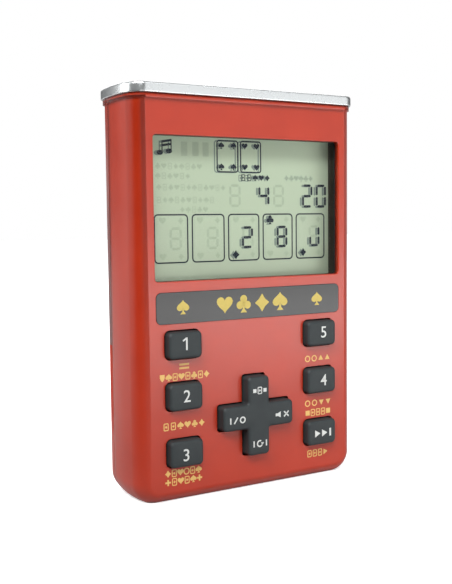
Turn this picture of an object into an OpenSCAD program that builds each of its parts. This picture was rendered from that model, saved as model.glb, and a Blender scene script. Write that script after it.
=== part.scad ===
// A pocket card game with a liquid crystal display, six push keys and a cross pad.
// It stands upright: +X is right as seen by the player, -Y faces the player and +Z is up.
// The origin is the middle of the flat underside. Depths into the case are given from its front face.

/* [Case] */
// Width of the moulded case where its sides bow out furthest
case_w = 63.4; // [62:0.1:65]
// Depth of the moulded case, front face to back face
case_d = 20.2; // [19.8:0.1:22]
// Height of the moulded case, up to the underside of the cap
case_h = 95.7; // [95:0.1:100]
// Wall thickness of both shells
wall = 1.6; // [1.4:0.1:1.8]
// Radius of the lower corners where the sides bow out furthest
corner_r = 5.9; // [5.7:0.1:8]
// Radius of the edge round the front face
front_edge_r = 1.9; // [1.9:0.1:2.6]
// Angle that this edge turns through before the shoulder begins, in degrees
front_edge_turn = 38; // [30:1:50]
// Radius of the shoulder between the front edge and the bowed side
shoulder_r = 5.5; // [5:0.1:7]
// Radius of the bow of each side, seen from above
bow_r = 42; // [36:1:60]
// How much of the bowed underside is cut away for the case to stand on
foot_cut = 0.7; // [0.5:0.1:0.9]
// Depth from the front face at which the two shells part
seam_depth = 14.4; // [14:0.1:15]
// Height of the battery door
door_h = 36.6; // [36:0.1:37]

/* [Cap] */
// Height of the plated cap
cap_h = 2.4; // [1.8:0.1:3]
// How far the cap stands out past the case all round
cap_overhang = 0.9; // [0.7:0.05:1.2]

/* [Display] */
// Width of the display opening
view_w = 53; // [50:0.1:53.4]
// Height of the lower edge of the display opening
view_low = 52.5; // [52:0.1:54]
// Height of the upper edge of the display opening
view_high = 86.4; // [84:0.1:87]
// Depth from the front face to the front of the display glass
glass_depth = 5.6; // [5:0.1:6]

/* [Keys] */
// Width of a small key
key_w = 8.8; // [8:0.1:9]
// Height of a small key
key_h = 6.4; // [5.5:0.1:6.8]
// How far a small key stands proud of the case
key_proud = 2.1; // [1.4:0.1:2.4]
// Distance of each key column from the centre line
key_x = 19.7; // [19.2:0.1:20]
// Height of the centres of the top pair of keys
key_top_z = 37.6; // [37.3:0.1:38.2]
// Height of the centres of the middle pair of keys
key_mid_z = 25.4; // [25.2:0.1:26]
// Height of the centres of the bottom pair of keys
key_low_z = 11.9; // [11.8:0.1:12.4]
// Overall width of the cross pad
pad_span = 20.2; // [19:0.1:20.4]
// Overall height of the cross pad
pad_height = 19.6; // [18:0.1:20]
// Width of each arm of the cross pad
pad_arm = 6.1; // [5:0.1:6.6]
// How far the cross pad stands proud of the case
pad_proud = 2.8; // [2:0.1:3.2]
// Height of the centre of the cross pad
pad_z = 18.7; // [18.5:0.1:19]

/* [Hidden] */
$fn = 48;

overlap = 0.01;
joint_gap = 0.1;

// Stations through the depth of the case, measured back from the front face
gasket_t = 0.3;
window_t = 0.8;
glass_t = 0.7;
film_t = 0.2;
board_front = 4.6;
board_t = 1;
mat_t = 0.8;
mat_front = board_front - mat_t;
flange_front = 1.95;
flange_t = 0.75;
dome_top = flange_front + flange_t + 0.05;
tray_front = 6.9;
tray_t = 0.8;

// The display stack, in plan of the front face
window_margin = 1.2;
sight_margin = 0.8;
frame_lap = 0.6;
frame_rim = 0.7;
glass_play = 0.1;
view_mid = (view_low + view_high) / 2;
view_h = view_high - view_low;

// Keys
key_rows = [key_top_z, key_mid_z, key_low_z];
key_hole_gap = 0.35;
key_flange = 0.9;
key_corner_r = 1.1;
key_bevel = 0.35;

// Cross pad
pad_gap = 0.4;
pad_flange = 0.9;
pad_corner_r = 0.8;
pad_pocket = 1.4;
pad_wall = 1.1;
pivot_r = 1;
pivot_depth = dome_top;
pad_dome_reach = 7.4;

// Screw places, as [x, z]
board_posts = [[-11.5, 43.6], [11.5, 43.6], [-12.5, 6], [12.5, 6]];
lower_bosses = [[-11.5, 31.8], [11.5, 31.8]];
upper_bosses = [[-25, 91], [25, 91]];
post_r = 1.8;
boss_r = 2.2;
pilot_r = 0.85;
shank_r = 0.8;
clear_r = 1.1;
head_r = 1.9;
head_t = 1.1;

// Battery box and its two cells
cell_r = 5.25;
cell_len = 44.5;
nub_r = 1.9;
nub_h = 0.8;
lower_cell_z = 11.6;
upper_cell_z = 23.2;
cell_depth = 7.8 + cell_r;
box_x = 25.6;
box_wall = 1;
box_floor_z = 4.2;
contact_t = 0.4;
wire_r = 0.45;
spring_wire_r = 0.3;

// Depth from the front face to a position along Y
function back(depth) = depth - case_d / 2;

// Points round a circle of radius r that lies across direction d, which never runs along X
function unit(v) = v / norm(v);
function side_of(d) = unit(cross(d, [1, 0, 0]));
function direction(path, i) =
    unit(path[min(i + 1, len(path) - 1)] - path[max(i - 1, 0)]);
function ring(p, d, r, n) =
    let (a = side_of(d), b = cross(d, a))
    [for (k = [0 : n - 1]) p + r * (cos(360 * k / n) * a + sin(360 * k / n) * b)];

// A round wire along a list of points
module wire(path, r, sides = 8) {
    last = len(path) - 1;
    rings = [for (i = [0 : last]) each ring(path[i], direction(path, i), r, sides)];
    walls = [for (i = [0 : last - 1]) for (k = [0 : sides - 1])
        let (m = (k + 1) % sides)
        [(i + 1) * sides + k, (i + 1) * sides + m, i * sides + m, i * sides + k]];
    first_end = [for (k = [0 : sides - 1]) k];
    last_end = [for (k = [sides - 1 : -1 : 0]) last * sides + k];
    polyhedron(points = rings, faces = concat(walls, [first_end, last_end]), convexity = 4);
}

// A rectangle with round corners, centred, lying in the plane of the front face
module plate(w, h, r, front, thickness) {
    translate([0, back(front), 0])
        rotate([90, 0, 0])
            mirror([0, 0, 1])
                linear_extrude(thickness)
                    round_rect(w, h, r);
}

module round_rect(w, h, r) {
    square([w - 2 * r, h], center = true);
    square([w, h - 2 * r], center = true);
    for (sx = [-1, 1], sy = [-1, 1])
        translate([sx * (w / 2 - r), sy * (h / 2 - r)])
            circle(r);
}

// The cross pad's outline, its arms longer and wider by spread at every edge
module cross_shape(spread, r) {
    round_rect(pad_span + 2 * spread, pad_arm + 2 * spread, r);
    round_rect(pad_arm + 2 * spread, pad_height + 2 * spread, r);
}

module cross_plate(spread, r, front, thickness) {
    translate([0, back(front), pad_z])
        rotate([90, 0, 0])
            mirror([0, 0, 1])
                linear_extrude(thickness)
                    cross_shape(spread, r);
}

// A cylinder that runs back into the case from a depth
module rod(x, z, r, front, length) {
    translate([x, back(front), z])
        rotate([-90, 0, 0])
            cylinder(r = r, h = length);
}

// Half of the case's plan outline: a chain of arcs from the front face round to the back face.
// An arc is its radius, the headings at its start and end, and its number of steps.
shoulder_end = 84;
bow_end = 101;
bow_front = front_edge_r * (1 - cos(front_edge_turn))
    + shoulder_r * (cos(front_edge_turn) - cos(shoulder_end))
    + bow_r * cos(shoulder_end);
bow_back = -bow_r * cos(bow_end);
rear_edge_r = (case_d - bow_front - bow_back) / (1 + cos(bow_end));

function side_arcs(inset) = [
    [front_edge_r - inset, 0, front_edge_turn, 6],
    [shoulder_r - inset, front_edge_turn, shoulder_end, 8],
    [bow_r - inset, shoulder_end, 90, 2],
    [bow_r - inset, 90, bow_end, 4],
    [rear_edge_r - inset, bow_end, 180, 12]
];

// Where an arc ends, and the points along it, from its start
function arc_point(r, from, to) = r * [sin(to) - sin(from), cos(from) - cos(to)];
function arc_end(a) = arc_point(a[0], a[1], a[2]);
function arc_start(arcs, i) = i == 0 ? [0, 0] : arc_start(arcs, i - 1) + arc_end(arcs[i - 1]);
function arc_chain(arcs) = [for (i = [0 : len(arcs) - 1]) let (a = arcs[i])
    for (k = [1 : a[3]])
        arc_start(arcs, i) + arc_point(a[0], a[1], a[1] + (a[2] - a[1]) * k / a[3])];

// The outline drawn in by inset, with its widest point at reach from the middle
module edge_profile(reach, inset) {
    arcs = side_arcs(inset);
    first = [reach - arc_start(arcs, 3).x, -case_d / 2 + inset];
    polygon(concat(
        [[0, first.y], first],
        [for (p = arc_chain(arcs)) first + p],
        [[0, -first.y]]));
}

// The case's outer form, drawn in by inset, between the heights low and top
module case_form(inset, low, top) {
    half = case_w / 2 - inset;
    r = corner_r - inset;
    turn = corner_r - foot_cut;
    intersection() {
        union() {
            // Straight sides
            translate([0, 0, turn])
                linear_extrude(top - turn)
                    for (side = [0, 1])
                        mirror([side, 0])
                            edge_profile(half, inset);
            // Bowed underside
            rotate([0, 90, 0])
                linear_extrude(2 * (half - r), center = true)
                    translate([-turn, 0])
                        edge_profile(r, inset);
            // Round lower corners
            for (side = [0, 1])
                mirror([side, 0, 0])
                    translate([half - r, 0, turn])
                        rotate([-90, 0, 0])
                            rotate_extrude(angle = 90)
                                edge_profile(r, inset);
        }
        translate([-case_w, -case_d, low]) cube([2 * case_w, 2 * case_d, top - low]);
    }
}

// Everything in front of, or behind, a depth
module in_front_of(depth) {
    translate([-case_w, back(depth) - 2 * case_d, -case_h])
        cube([2 * case_w, 2 * case_d, 3 * case_h]);
}

module behind(depth) {
    translate([-case_w, back(depth), -case_h])
        cube([2 * case_w, 2 * case_d, 3 * case_h]);
}

// The small lip that both shells carry round their top edge
lip_h = 1.2;
lip_out = 0.45;

module top_lip() {
    translate([0, 0, case_h - lip_h])
        linear_extrude(lip_h)
            for (side = [0, 1])
                mirror([side, 0])
                    edge_profile(case_w / 2 + lip_out, -lip_out);
}

module hollow_case() {
    difference() {
        union() {
            case_form(0, 0, case_h);
            top_lip();
        }
        case_form(wall, wall, case_h - wall);
    }
}

module front_case() {
    color("#cf2f0c")
    difference() {
        union() {
            intersection() {
                hollow_case();
                in_front_of(seam_depth - joint_gap / 2);
            }
            for (p = board_posts)
                rod(p.x, p.y, post_r, wall - overlap, board_front - wall);
            for (p = lower_bosses)
                rod(p.x, p.y, boss_r, wall - overlap, tray_front - wall);
            for (p = upper_bosses)
                rod(p.x, p.y, boss_r, wall - overlap, seam_depth - wall);
        }
        // Openings for the display, the keys and the pad
        translate([0, 0, view_mid]) plate(view_w, view_h, 0.9, -1, wall + 2);
        for (side = [-1, 1], z = key_rows)
            translate([side * key_x, 0, z])
                plate(key_w + 2 * key_hole_gap, key_h + 2 * key_hole_gap,
                    key_corner_r + key_hole_gap, -1, wall + 2);
        cross_plate(pad_gap, pad_corner_r, -1, wall + 2);
        // Room behind the wall for the pad's flange to rock
        cross_plate(pad_pocket, pad_corner_r, pad_wall, wall);
        // Shallow seat for the name plate
        translate([0, 0, plate_mid]) plate(plate_w + 0.2, plate_h + 0.2, 1.4, -1, 1 + plate_seat);
        // Screw pilots
        for (p = board_posts) rod(p.x, p.y, pilot_r, wall, board_front);
        for (p = lower_bosses) rod(p.x, p.y, pilot_r, wall, tray_front);
        for (p = upper_bosses) rod(p.x, p.y, pilot_r, wall + 5, seam_depth);
        // Sockets for the cap's pegs
        for (x = cap_pegs)
            translate([x, back(cap_peg_depth), case_h - wall - 1])
                cylinder(r = peg_r + 0.05, h = wall + 2);
    }
}

// The dark strip under the display
plate_w = 52.8;
plate_h = 7.4;
plate_mid = 46.3;
plate_seat = 0.25;
plate_t = 0.3;

module name_plate() {
    color("#4f504d")
    translate([0, 0, plate_mid])
        plate(plate_w, plate_h, 1.3, plate_seat - plate_t, plate_t);
}

// Vents over the buzzer, in the back wall
buzzer_x = 0;
buzzer_z = 66;
buzzer_r = 10;
vent_r = 0.9;
vent_ring = 4.5;
vent_count = 6;

ledge_t = 1.2;
ledge_gap = 0.3;
vent_z = [for (i = [0 : vent_count - 1])
    [buzzer_x + vent_ring * cos(360 * i / vent_count),
        buzzer_z + vent_ring * sin(360 * i / vent_count)]];

// A level plate right across the inside of the case, between two depths
module ledge(low, front, end, gap) {
    intersection() {
        case_form(wall + gap, 0, case_h);
        translate([-case_w, back(front), low]) cube([2 * case_w, end - front, ledge_t]);
    }
}

module rear_case() {
    ledge_z = door_h + joint_gap;
    seam_back = seam_depth + joint_gap / 2;
    counterbore_r = head_r + 0.2;
    pillar_r = boss_r + 0.6;
    color("#cf2f0c")
    difference() {
        union() {
            intersection() {
                hollow_case();
                behind(seam_back);
                translate([-case_w, -case_d, ledge_z]) cube([2 * case_w, 3 * case_d, 2 * case_h]);
            }
            // Ledge over the battery box, drawn in where it stands inside the front shell
            ledge(ledge_z, tray_front, seam_back + 1, ledge_gap);
            ledge(ledge_z, seam_back, case_d - wall / 2, -overlap);
            battery_box(ledge_z);
            for (p = upper_bosses)
                rod(p.x, p.y, pillar_r, seam_back, case_d - wall - seam_depth);
        }
        for (p = upper_bosses) {
            rod(p.x, p.y, clear_r, seam_depth - 1, case_d - seam_depth);
            rod(p.x, p.y, counterbore_r, case_d - upper_head_depth, upper_head_depth + 1);
        }
        for (p = lower_bosses) rod(p.x, p.y, clear_r, tray_front - 1, tray_t + 2);
        // Ways through the floor for the terminal tails
        for (z = [lower_cell_z, upper_cell_z])
            translate([box_x - tail_w, back(tray_front - 1), z - tail_w])
                cube([tail_w, tray_t + 2, 2 * tail_w]);
        rod(buzzer_x, buzzer_z, vent_r, case_d - wall - 1, wall + 2);
        for (p = vent_z) rod(p.x, p.y, vent_r, case_d - wall - 1, wall + 2);
    }
}

upper_head_depth = 3.6;
rail_front = 16.5;
rail_t = 0.8;
rail_low = 5;
rail_high = 34;
rail_reach = 28.4;
door_gap = 0.5;
rib_x = 12;
rib_t = 1;
rib_h = 0.8;
rib_drop = 0.5;
rib_depth = 2.4;

module battery_box(top) {
    depth = case_d - wall - door_gap - tray_front;
    outer = box_x + box_wall;
    // Floor
    translate([-outer, back(tray_front), box_floor_z])
        cube([2 * outer, tray_t, top - box_floor_z + overlap]);
    // Ends, each with a rail for the door
    for (side = [0, 1])
        mirror([side, 0, 0]) {
            translate([box_x, back(tray_front), box_floor_z])
                cube([box_wall, depth, top - box_floor_z + overlap]);
            translate([outer - overlap, back(rail_front), rail_low])
                cube([rail_reach - outer, rail_t, rail_high - rail_low]);
        }
    // Lower wall
    translate([-outer, back(tray_front), box_floor_z])
        cube([2 * outer, depth, box_wall]);
    // Ribs that cradle the cells from below
    for (x = [-rib_x, rib_x], z = [lower_cell_z, upper_cell_z])
        translate([x - rib_t / 2, back(tray_front + tray_t - overlap), z - cell_r - rib_drop])
            cube([rib_t, rib_depth, rib_h]);
}

// Runners inside the door, in front of the rails
runner_inner_x = 27.9;
runner_outer_x = 29.7;
runner_front = seam_depth + 0.6;
runner_t = 1.1;
runner_low = 7;
runner_h = 26;

// Finger grooves across the back of the door, shorter towards the top
grip_count = 7;
grip_low = 16;
grip_pitch = 1.6;
grip_r = 0.6;
grip_depth = 0.25;
grip_len = 16;

module battery_door() {
    color("#cf2f0c")
    difference() {
        union() {
            intersection() {
                difference() {
                    case_form(0, 0, door_h);
                    case_form(wall, wall, door_h + 1);
                }
                behind(seam_depth + joint_gap / 2);
            }
            for (side = [0, 1])
                mirror([side, 0, 0])
                    translate([runner_inner_x, back(runner_front), runner_low])
                        cube([runner_outer_x - runner_inner_x, runner_t, runner_h]);
        }
        for (i = [0 : grip_count - 1])
            translate([0, back(case_d) + grip_r - grip_depth, grip_low + grip_pitch * i])
                rotate([0, 90, 0])
                    cylinder(r = grip_r, h = grip_len - i, center = true);
    }
}

cap_pegs = [-20, 20];
cap_peg_depth = 7;
peg_r = 1.2;
cap_edge = 0.45;

module top_cap() {
    color("#dde3e3")
    union() {
        translate([0, 0, case_h])
            linear_extrude(cap_h - cap_edge)
                cap_outline(cap_overhang);
        translate([0, 0, case_h + cap_h - cap_edge - overlap])
            linear_extrude(cap_edge + overlap)
                cap_outline(cap_overhang - cap_edge);
        for (x = cap_pegs)
            translate([x, back(cap_peg_depth), case_h - wall])
                cylinder(r = peg_r, h = wall + 1);
    }
}

module cap_outline(out) {
    for (side = [0, 1])
        mirror([side, 0])
            edge_profile(case_w / 2 + out, -out);
}

module window_gasket() {
    color("#161514")
    translate([0, 0, view_mid])
        difference() {
            plate(view_w + 2 * window_margin, view_h + 2 * window_margin, 1, wall, gasket_t);
            plate(view_w - 0.2, view_h - 0.2, 0.8, wall - 1, gasket_t + 2);
        }
}

module display_window() {
    color("#e8f0f0", 0.3)
    translate([0, 0, view_mid])
        plate(view_w + 2 * window_margin, view_h + 2 * window_margin, 1,
            wall + gasket_t, window_t);
}

// The dark frame that spaces the display glass behind the window and holds its edges
frame_front = wall + gasket_t + window_t;
frame_back = glass_depth + 2 * glass_t + 2 * film_t;
// How far the display glass, its pocket and the frame reach past the display opening
pocket_reach = sight_margin + frame_lap;
frame_reach = pocket_reach + frame_rim;
glass_reach = pocket_reach - glass_play;

module lcd_frame() {
    color("#3a2f2c")
    translate([0, 0, view_mid])
        difference() {
            plate(view_w + 2 * frame_reach, view_h + 2 * frame_reach, 1,
                frame_front, frame_back - frame_front);
            plate(view_w + 2 * sight_margin, view_h + 2 * sight_margin, 0.6,
                frame_front - 1, frame_back);
            plate(view_w + 2 * pocket_reach, view_h + 2 * pocket_reach, 0.3,
                glass_depth, frame_back);
        }
}

module lcd_layer(front, thickness, drop = 0) {
    translate([0, 0, view_mid - drop / 2])
        plate(view_w + 2 * glass_reach, view_h + 2 * glass_reach - drop, 0.2, front, thickness);
}

module lcd_front_polariser() {
    color("#b9c8ae", 0.5) lcd_layer(glass_depth, film_t);
}

module lcd_front_glass() {
    color("#c4d2bd", 0.5) lcd_layer(glass_depth + film_t, glass_t);
}

module lcd_rear_glass() {
    color("#c4d2bd", 0.5) lcd_layer(glass_depth + film_t + glass_t, glass_t);
}

module lcd_reflector() {
    color("#b9c8ae") lcd_layer(glass_depth + film_t + 2 * glass_t, film_t);
}

// Heat-sealed ribbon from the lower edge of the display glass to the back of the board
flex_w = 40;
flex_t = 0.15;
flex_on_glass = 3;
flex_on_board = 2.6;
flex_bend_gap = 0.9;

module lcd_flex() {
    bend_z = view_low - frame_reach - flex_bend_gap;
    on_board = board_front + board_t;
    color("#b98a3c")
    union() {
        translate([-flex_w / 2, back(frame_back), bend_z - flex_t])
            cube([flex_w, flex_t, view_low + flex_on_glass - bend_z + flex_t]);
        translate([-flex_w / 2, back(on_board), bend_z - flex_t])
            cube([flex_w, frame_back - on_board + flex_t, flex_t]);
        translate([-flex_w / 2, back(on_board), board_top - flex_on_board])
            cube([flex_w, flex_t, bend_z - board_top + flex_on_board]);
    }
}

// One small key: cap, retaining flange behind the wall, and nothing below the dome's top
module small_key(x, z) {
    color("#4b5151")
    translate([x, 0, z])
        union() {
            plate(key_w - 2 * key_bevel, key_h - 2 * key_bevel, key_corner_r - key_bevel,
                -key_proud, 1);
            plate(key_w, key_h, key_corner_r, key_bevel - key_proud,
                key_proud - key_bevel + flange_front + overlap);
            plate(key_w + 2 * key_flange, key_h + 2 * key_flange, key_corner_r,
                flange_front, flange_t);
        }
}

module key_1() { small_key(-key_x, key_rows[0]); }
module key_2() { small_key(-key_x, key_rows[1]); }
module key_3() { small_key(-key_x, key_rows[2]); }
module key_5() { small_key(key_x, key_rows[0]); }
module key_4() { small_key(key_x, key_rows[1]); }
module key_start() { small_key(key_x, key_rows[2]); }

module pad_key() {
    color("#4b5151")
    difference() {
        union() {
            cross_plate(-key_bevel, pad_corner_r - key_bevel, -pad_proud, 1);
            cross_plate(0, pad_corner_r, key_bevel - pad_proud,
                pad_proud - key_bevel + flange_front + overlap);
            cross_plate(pad_flange, pad_corner_r, flange_front, flange_t - 0.05);
        }
        translate([0, back(pivot_depth), pad_z]) sphere(r = pivot_r + 0.05);
    }
}

// Ball that the pad rocks on
module pad_pivot() {
    color("#2b2b2b")
    translate([0, back(pivot_depth), pad_z]) sphere(r = pivot_r);
}

// Places where a key or an arm of the pad meets the board, as [x, z]
dome_places = concat(
    [for (side = [-1, 1], z = key_rows) [side * key_x, z]],
    [for (a = [0 : 90 : 270])
        [pad_dome_reach * cos(a), pad_z + pad_dome_reach * sin(a)]]);
dome_base_r = 2.7;
dome_top_r = 1.7;
dome_skin = 0.5;
pill_r = 1.2;
pill_t = 0.3;
mat_w = 52;
mat_low = 5;
mat_high = 42.3;

module key_mat() {
    mid = (mat_low + mat_high) / 2;
    color("#8f9294")
    difference() {
        union() {
            translate([0, 0, mid])
                plate(mat_w, mat_high - mat_low, 1.5, mat_front, mat_t);
            for (p = dome_places)
                translate([p.x, back(dome_top), p.y])
                    rotate([-90, 0, 0])
                        cylinder(r1 = dome_top_r, r2 = dome_base_r,
                            h = mat_front - dome_top + overlap);
        }
        for (p = dome_places)
            rod(p.x, p.y, dome_top_r - 0.1, dome_top + dome_skin, mat_t + 2);
        for (p = lower_bosses) rod(p.x, p.y, boss_r + 0.4, mat_front - 1, mat_t + 2);
        for (p = board_posts) rod(p.x, p.y, post_r + 0.4, mat_front - 1, mat_t + 2);
    }
}

module contact_pills() {
    color("#1d1d1f")
    for (p = dome_places)
        rod(p.x, p.y, pill_r, dome_top + dome_skin, pill_t);
}

pad_film_t = 0.04;

module contact_pads() {
    color("#2a2a2c")
    for (p = dome_places)
        difference() {
            rod(p.x, p.y, 1.5, board_front - pad_film_t, pad_film_t);
            translate([p.x - 0.12, back(board_front) - 1, p.y - 2]) cube([0.24, 2, 4]);
        }
}

board_w = 55;
board_low = 3.4;
board_top = 48.4;

module main_board() {
    mid = (board_low + board_top) / 2;
    color("#3d6b3f")
    difference() {
        translate([0, 0, mid])
            plate(board_w, board_top - board_low, 2.5, board_front, board_t);
        for (p = board_posts) rod(p.x, p.y, clear_r, board_front - 1, board_t + 2);
        for (p = lower_bosses) rod(p.x, p.y, boss_r + 0.3, board_front - 1, board_t + 2);
    }
}

// Drop of black resin over the bare chip, turned as a low dome
blob_r = 5;
blob_h = 1;
blob_z = 21;

module chip_blob() {
    dome_r = (blob_r * blob_r + blob_h * blob_h) / (2 * blob_h);
    color("#141414")
    translate([0, back(board_front + board_t), blob_z])
        rotate([-90, 0, 0])
            rotate_extrude()
                intersection() {
                    translate([0, blob_h - dome_r]) circle(r = dome_r, $fn = 360);
                    square([blob_r, blob_h]);
                }
}

// Three resistors, two capacitors and a crystal can, on the back of the board
resistor_z = 40.2;
resistor_pitch = 6;
resistor_r = 0.5;
resistor_len = 3.4;
resistor_leg = [0.9, 1, 0.3];
capacitor_x = 20;
capacitor_z = 43;
capacitor_r = 2;
capacitor_h = 5;
capacitor_rim = 0.2;
crystal_x = -17;
crystal_z = 39.3;
crystal_r = 1;
crystal_len = 5;
crystal_lift = 0.05;

module resistors() {
    color("#c8b08a")
    for (i = [-1 : 1])
        translate([i * resistor_pitch, back(board_front + board_t) + resistor_r, resistor_z])
            union() {
                rotate([0, 90, 0]) cylinder(r = resistor_r, h = resistor_len, center = true);
                for (end = [-1, 1])
                    translate([end * (resistor_len / 2 + resistor_leg.z), 0, 0])
                        cube(resistor_leg, center = true);
            }
}

module capacitors() {
    color("#24405f")
    for (side = [-1, 1])
        translate([side * capacitor_x, back(board_front + board_t), capacitor_z])
            rotate([-90, 0, 0]) {
                cylinder(r = capacitor_r, h = capacitor_h - capacitor_rim);
                cylinder(r = capacitor_r - capacitor_rim, h = capacitor_h);
            }
}

module crystal() {
    color("#c9ccce")
    translate([crystal_x, back(board_front + board_t) + crystal_r + crystal_lift, crystal_z])
        rotate([0, 90, 0])
            cylinder(r = crystal_r, h = crystal_len);
}

module screw(x, z, head_front, length) {
    difference() {
        union() {
            rod(x, z, head_r, head_front, head_t);
            rod(x, z, shank_r, head_front - length, length + overlap);
        }
        // Cross recess
        translate([x, back(head_front + head_t), z]) cube([2.2, 1.2, 0.5], center = true);
        translate([x, back(head_front + head_t), z]) cube([0.5, 1.2, 2.2], center = true);
    }
}

module board_screws() {
    color("#b9bcbf")
    for (p = board_posts) screw(p.x, p.y, board_front + board_t, 3.6);
}

module case_screws() {
    color("#b9bcbf") {
        for (p = lower_bosses) screw(p.x, p.y, tray_front + tray_t, 5);
        for (p = upper_bosses) screw(p.x, p.y, case_d - upper_head_depth, 8);
    }
}

// The buzzer: a brass disc with a ceramic face, held off the back wall by a ring
buzzer_back = case_d - wall;
holder_h = 2.6;
holder_wall = 1.4;
holder_step = 1.4;
holder_rim = 1;
holder_fit = 0.05;
disc_t = 0.25;
ceramic_r = 6.2;
ceramic_t = 0.2;
disc_back = buzzer_back - holder_step;

module buzzer_holder() {
    color("#1c1c1d")
    difference() {
        rod(buzzer_x, buzzer_z, buzzer_r + holder_wall, buzzer_back - holder_h, holder_h);
        rod(buzzer_x, buzzer_z, buzzer_r - holder_rim, buzzer_back - holder_h - 1, holder_h + 2);
        rod(buzzer_x, buzzer_z, buzzer_r + holder_fit, disc_back - holder_h, holder_h);
    }
}

module buzzer_plate() {
    color("#c79a3f")
    rod(buzzer_x, buzzer_z, buzzer_r, disc_back - disc_t, disc_t);
}

module buzzer_ceramic() {
    color("#e6e2d6")
    rod(buzzer_x, buzzer_z, ceramic_r, disc_back - disc_t - ceramic_t, ceramic_t);
}

// Leads from the back of the board to the buzzer, as round points in x, depth and z
function lead(points) = [for (p = points) [p.x, back(p.y), p.z]];
buzzer_lead = [[0, 6.1, 43.2], [0, 6.3, 44.2], [0, 7.2, 45.6], [0, 8.6, 47.2], [0, 10, 49.5],
    [0.2, 11.5, 53], [0.4, 13.2, 57.5], [0.5, 14.6, 61.4], [0.4, 15.7, 63.4], [0.2, 16.05, 65]];

module buzzer_wires() {
    color("#c9302a") translate([3, 0, 0]) wire(lead(buzzer_lead), wire_r);
    color("#1e1e1e") translate([-7, 0.2, 0]) wire(lead(buzzer_lead), wire_r);
}

// Coil spring whose axis runs along X, from a plate towards the cell
spring_len = 2 * box_x - 2 * contact_t - cell_len - 0.3;
spring_turns = 4;
spring_steps = 12;

function coil(start, way, z) = [for (i = [0 : spring_turns * spring_steps])
    let (t = i / (spring_turns * spring_steps), r = 3.4 - 1.4 * t, a = 360 * i / spring_steps)
    [start + way * (spring_wire_r + (spring_len - 2 * spring_wire_r) * t),
        back(cell_depth) + r * cos(a), z + r * sin(a)]];

module contact_plate(side, z) {
    translate([side * (box_x - contact_t / 2), back(cell_depth), z])
        cube([contact_t, 8, 8], center = true);
}

module spring_contact(side, z) {
    contact_plate(side, z);
    wire(coil(side * (box_x - contact_t + 0.1), -side, z), spring_wire_r);
}

// Tail that passes through the box's floor, for the lead to be soldered to
tail_w = 1.4;
tail_front = 5.85;

module tail(z) {
    translate([box_x - contact_t, back(tail_front), z - tail_w + 0.3])
        cube([contact_t, cell_depth - 3.5 - tail_front, 2 * tail_w - 0.6]);
}

module battery_bridge() {
    color("#c8ccd0") {
        spring_contact(-1, upper_cell_z);
        contact_plate(-1, lower_cell_z);
        translate([-box_x, back(cell_depth) - 2, lower_cell_z])
            cube([contact_t, 4, upper_cell_z - lower_cell_z]);
    }
}

module positive_terminal() {
    color("#c8ccd0") {
        contact_plate(1, upper_cell_z);
        tail(upper_cell_z);
    }
}

module negative_terminal() {
    color("#c8ccd0") {
        spring_contact(1, lower_cell_z);
        tail(lower_cell_z);
    }
}

// A lead is soldered to each terminal's tail, and runs up behind the board to its pad
positive_lead = [[24.7, 6.25, 22.6], [24.7, 6.25, 24.6], [24.6, 6.25, 26.6], [24.3, 6.2, 29],
    [23.9, 6.2, 32], [23.6, 6.2, 36], [23.6, 6.2, 41]];
negative_lead = [[24.7, 6.25, 11], [24.7, 6.25, 13], [24.4, 6.25, 15], [23.7, 6.2, 17.4],
    [22.9, 6.2, 20], [22.4, 6.2, 23], [22.2, 6.2, 27], [22.2, 6.2, 32], [22.2, 6.2, 38]];

module battery_wires() {
    color("#c9302a") wire(lead(positive_lead), wire_r);
    color("#1e1e1e") wire(lead(negative_lead), wire_r);
}

// One cylindrical cell with its button end towards +X or -X
module cell(way, z) {
    tip = way * (box_x - contact_t - 0.1);
    body_len = cell_len - nub_h;
    translate([tip, back(cell_depth), z])
        rotate([0, -90 * way, 0]) {
            cylinder(r = nub_r, h = nub_h + overlap);
            translate([0, 0, nub_h]) cylinder(r = cell_r - 0.4, h = body_len);
            translate([0, 0, nub_h + 0.4]) cylinder(r = cell_r, h = body_len - 0.8);
        }
}

module upper_cell() {
    color("#2f5d8c") cell(1, upper_cell_z);
}

module lower_cell() {
    color("#2f5d8c") cell(-1, lower_cell_z);
}

front_case();
rear_case();
battery_door();
top_cap();
window_gasket();
display_window();
lcd_frame();
lcd_front_polariser();
lcd_front_glass();
lcd_rear_glass();
lcd_reflector();
lcd_flex();
name_plate();
key_1();
key_2();
key_3();
key_4();
key_5();
key_start();
pad_key();
pad_pivot();
key_mat();
contact_pills();
contact_pads();
main_board();
chip_blob();
resistors();
capacitors();
crystal();
board_screws();
case_screws();
buzzer_plate();
buzzer_ceramic();
buzzer_holder();
buzzer_wires();
battery_bridge();
positive_terminal();
negative_terminal();
battery_wires();
upper_cell();
lower_cell();
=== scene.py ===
import math

import bmesh
import bpy
from mathutils import Matrix, Vector


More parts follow.
